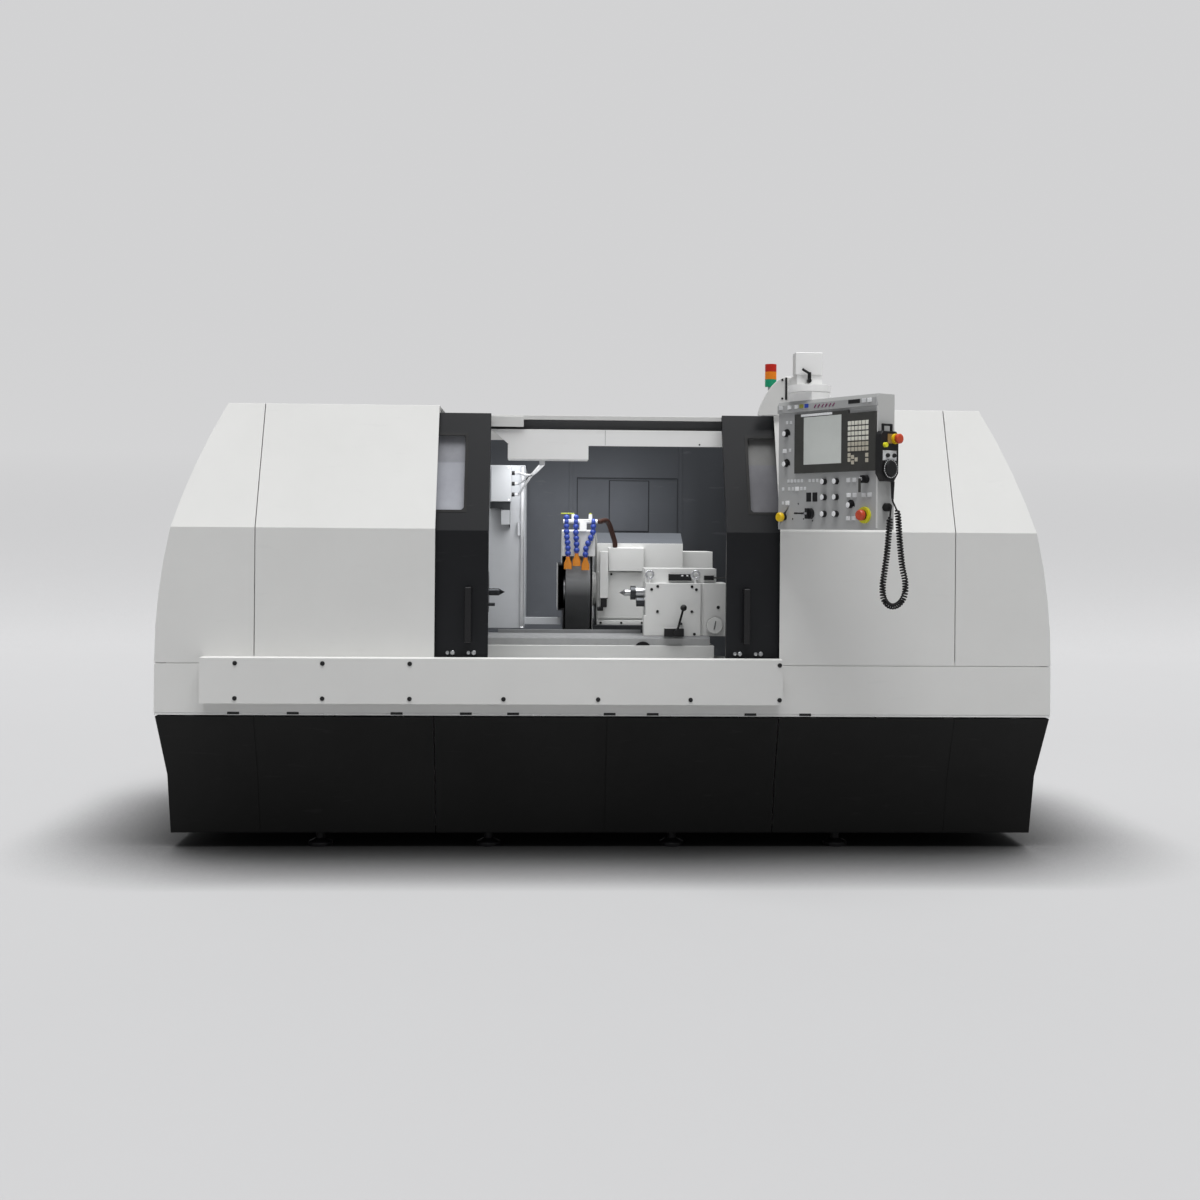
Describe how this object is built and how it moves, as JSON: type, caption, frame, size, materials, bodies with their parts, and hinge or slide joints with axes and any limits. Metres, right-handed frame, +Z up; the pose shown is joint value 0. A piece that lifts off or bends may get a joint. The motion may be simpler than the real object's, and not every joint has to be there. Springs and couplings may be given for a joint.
{
  "type": "cylindrical grinder",
  "caption": "Enclosed cylindrical grinding machine with sliding doors, grinding wheel, workhead and tailstock on a table, and a swivelling control pendant.",
  "frame": {"origin": "floor point under the middle of the machine's bounding box, the curly cord and its socket left out", "axes": "+X to the right seen from the front, +Y to the back, +Z up"},
  "size_m": [3.49, 2.4544, 1.9556],
  "materials": {
    "white_paint": "satin warm white powder coat, fine orange peel",
    "skirt_black": "semi-gloss black powder coat",
    "door_black": "satin blue-black powder coat",
    "wall_grey": "dark blue-grey coat, lightly stained by coolant",
    "light_grey": "light grey coat",
    "cast_paint": "light warm grey machine enamel on castings",
    "steel": "ground and turned steel",
    "dark_steel": "dark slideway covers",
    "bezel_grey": "dark grey moulded bezel",
    "pendant_grey": "mid grey textured coat",
    "screen_grey": "pale grey-green screen, switched off",
    "window_glass": "laminated safety glass",
    "wheel_grit": "vitrified abrasive, coarse mid grey",
    "hose_blue": "blue moulded hose beads with orange nozzle",
    "lever_lime": "yellow-green dipped handle",
    "yellow_plastic": "yellow mushroom cap",
    "red_plastic": "red mushroom cap",
    "black_plastic": "black moulded plastic",
    "black_rubber": "black rubber",
    "lens_green": "translucent green lens",
    "lens_amber": "translucent amber lens",
    "lens_red": "translucent red lens"
  },
  "bodies": {
    "enclosure": {"bed": "cast_paint", "skirt_left": "skirt_black", "skirt_centre": "skirt_black", "skirt_right": "skirt_black", "lower_band": "white_paint", "front_apron": "white_paint", "left_end_cover": "white_paint", "right_end_cover": "white_paint", "left_front_cover": "white_paint", "right_front_cover": "white_paint", "rear_cover": "white_paint", "electrical_cabinet": "white_paint", "roof_beam": "white_paint", "valance": "white_paint", "back_wall": "wall_grey", "left_wall": "light_grey", "junction_box": "light_grey", "wheelhead_slide": "dark_steel", "signal_green_lens": "lens_green", "signal_amber_lens": "lens_amber", "signal_red_lens": "lens_red", "pendant_arm": "white_paint"},
    "left_door_body": {"left_door": "door_black", "left_door_window": "window_glass", "left_door_handle": "black_plastic"},
    "right_door_body": {"right_door": "door_black", "right_door_window": "window_glass", "right_door_handle": "black_plastic"},
    "table_body": {"table_lower": "cast_paint", "table_upper": "steel", "workhead": "cast_paint", "tailstock": "cast_paint"},
    "work_spindle_body": {"workhead_spindle": "steel"},
    "quill_body": {"tailstock_quill": "steel"},
    "quill_lever_body": {"tailstock_lever": "black_plastic"},
    "tailstock_dial_body": {"tailstock_dial": "steel"},
    "wheelhead_body": {"wheelhead": "cast_paint", "wheel_guard": "cast_paint", "gauge_head": "cast_paint", "coolant_manifold": "light_grey", "coolant_hose_1": "hose_blue", "coolant_hose_2": "hose_blue", "coolant_hose_3": "hose_blue", "coolant_supply_hose": "black_rubber"},
    "wheel_body": {"grinding_wheel": "wheel_grit"},
    "valve_lever_1_body": {"coolant_valve_lever_1": "lever_lime"},
    "valve_lever_2_body": {"coolant_valve_lever_2": "lever_lime"},
    "pendant_body": {"pendant_box": "pendant_grey", "pendant_bezel": "bezel_grey", "pendant_screen": "screen_grey", "handset_body": "black_plastic", "cord_socket": "black_rubber", "curly_cord": "black_rubber"},
    "clamp_lever_body": {"pendant_clamp_lever": "black_plastic"},
    "emergency_stop_body": {"emergency_stop": "red_plastic"},
    "yellow_button_body": {"yellow_button": "yellow_plastic"},
    "mode_switch_body": {"mode_switch": "black_plastic"},
    "power_switch_body": {"power_switch": "black_plastic"},
    "handset_dial_body": {"handset_dial": "black_plastic"},
    "handset_stop_body": {"handset_stop": "red_plastic"}
  },
  "joints": [
    {"name": "left_door_slide", "type": "slide", "parent": "enclosure", "child": "left_door_body", "axis": [1, 0, 0], "range_m": [0, 0.464]},
    {"name": "right_door_slide", "type": "slide", "parent": "enclosure", "child": "right_door_body", "axis": [-1, 0, 0], "range_m": [0, 0.464]},
    {"name": "table_traverse", "type": "slide", "parent": "enclosure", "child": "table_body", "axis": [1, 0, 0], "range_m": [-0.1, 0.21]},
    {"name": "work_spin", "type": "hinge", "parent": "table_body", "child": "work_spindle_body", "pos_m": [-0.5, -0.23538, 1.009], "axis": [1, 0, 0], "continuous": true},
    {"name": "quill_slide", "type": "slide", "parent": "table_body", "child": "quill_body", "axis": [1, 0, 0], "range_m": [0, 0.03], "stiffness_N_per_m": 3000},
    {"name": "quill_lever_turn", "type": "hinge", "parent": "table_body", "child": "quill_lever_body", "pos_m": [0.297, -0.36038, 0.852], "axis": [0, 1, 0], "range_deg": [0, 35]},
    {"name": "tailstock_dial_turn", "type": "hinge", "parent": "table_body", "child": "tailstock_dial_body", "pos_m": [0.457, -0.32038, 0.88], "axis": [0, 1, 0], "range_deg": [-150, 150]},
    {"name": "wheelhead_infeed", "type": "slide", "parent": "enclosure", "child": "wheelhead_body", "axis": [0, 1, 0], "range_m": [-0.14, 0.02]},
    {"name": "wheel_spin", "type": "hinge", "parent": "wheelhead_body", "child": "wheel_body", "pos_m": [-0.1, 0.15162, 1.009], "axis": [1, 0, 0], "continuous": true},
    {"name": "valve_lever_1_turn", "type": "hinge", "parent": "wheelhead_body", "child": "valve_lever_1_body", "pos_m": [-0.126, -0.08038, 1.339], "axis": [0, 0, 1], "range_deg": [0, 90]},
    {"name": "valve_lever_2_turn", "type": "hinge", "parent": "wheelhead_body", "child": "valve_lever_2_body", "pos_m": [-0.052, -0.08038, 1.339], "axis": [0, 0, 1], "range_deg": [0, 90]},
    {"name": "pendant_swivel", "type": "hinge", "parent": "enclosure", "child": "pendant_body", "pos_m": [0.755, -0.81538, 1.8], "axis": [0, 0, 1], "range_deg": [-60, 57]},
    {"name": "clamp_lever_turn", "type": "hinge", "parent": "enclosure", "child": "clamp_lever_body", "pos_m": [0.743, -0.87238, 1.838], "axis": [0, 1, 0], "range_deg": [-45, 80]},
    {"name": "emergency_stop_press", "type": "slide", "parent": "pendant_body", "child": "emergency_stop_body", "axis": [0.8453, 0.5344, 0], "range_m": [0, 0.005], "stiffness_N_per_m": 600},
    {"name": "yellow_button_press", "type": "slide", "parent": "pendant_body", "child": "yellow_button_body", "axis": [0.8453, 0.5344, 0], "range_m": [0, 0.005], "stiffness_N_per_m": 500},
    {"name": "mode_switch_turn", "type": "hinge", "parent": "pendant_body", "child": "mode_switch_body", "pos_m": [0.75032, -0.89406, 1.338], "axis": [0.8453, 0.5344, 0], "range_deg": [-130, 130]},
    {"name": "power_switch_turn", "type": "hinge", "parent": "pendant_body", "child": "power_switch_body", "pos_m": [0.90742, -1.14257, 1.46], "axis": [0.8453, 0.5344, 0], "range_deg": [-45, 45]},
    {"name": "handset_dial_turn", "type": "hinge", "parent": "pendant_body", "child": "handset_dial_body", "pos_m": [0.97597, -1.19861, 1.496], "axis": [0.5344, -0.8453, 0], "continuous": true},
    {"name": "handset_stop_press", "type": "slide", "parent": "pendant_body", "child": "handset_stop_body", "axis": [-0.5344, 0.8453, 0], "range_m": [0, 0.005], "stiffness_N_per_m": 500}
  ],
  "couplings": [
    {"joint": "quill_lever_turn", "follows": "quill_slide", "rad_per_m": 20}
  ]
}
